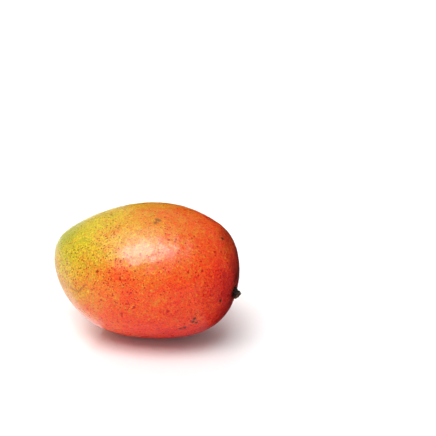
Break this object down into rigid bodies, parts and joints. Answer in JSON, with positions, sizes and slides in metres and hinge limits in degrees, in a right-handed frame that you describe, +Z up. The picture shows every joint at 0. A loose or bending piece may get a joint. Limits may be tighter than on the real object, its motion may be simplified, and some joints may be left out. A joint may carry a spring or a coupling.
{
  "type": "mango",
  "caption": "Whole ripe mango lying on its cheek, red at the stem end and blushing through orange to a golden, green-tinged tip, with fine dark speckles and a short woody stem stub.",
  "frame": {"origin": "on the surface that the fruit rests on, under the middle of the whole part's box", "axes": "+X along the fruit's length towards the stem end, +Y towards its fuller back, +Z up"},
  "size_m": [0.1204, 0.094, 0.0801],
  "materials": {
    "mango_skin": "satin, waxy fruit skin with fine dark speckles",
    "stem_wood": "dark, dry and rough, with a broken end"
  },
  "bodies": {
    "root": {"mango_fruit": "mango_skin", "stem_stub": "stem_wood"}
  },
  "joints": []
}
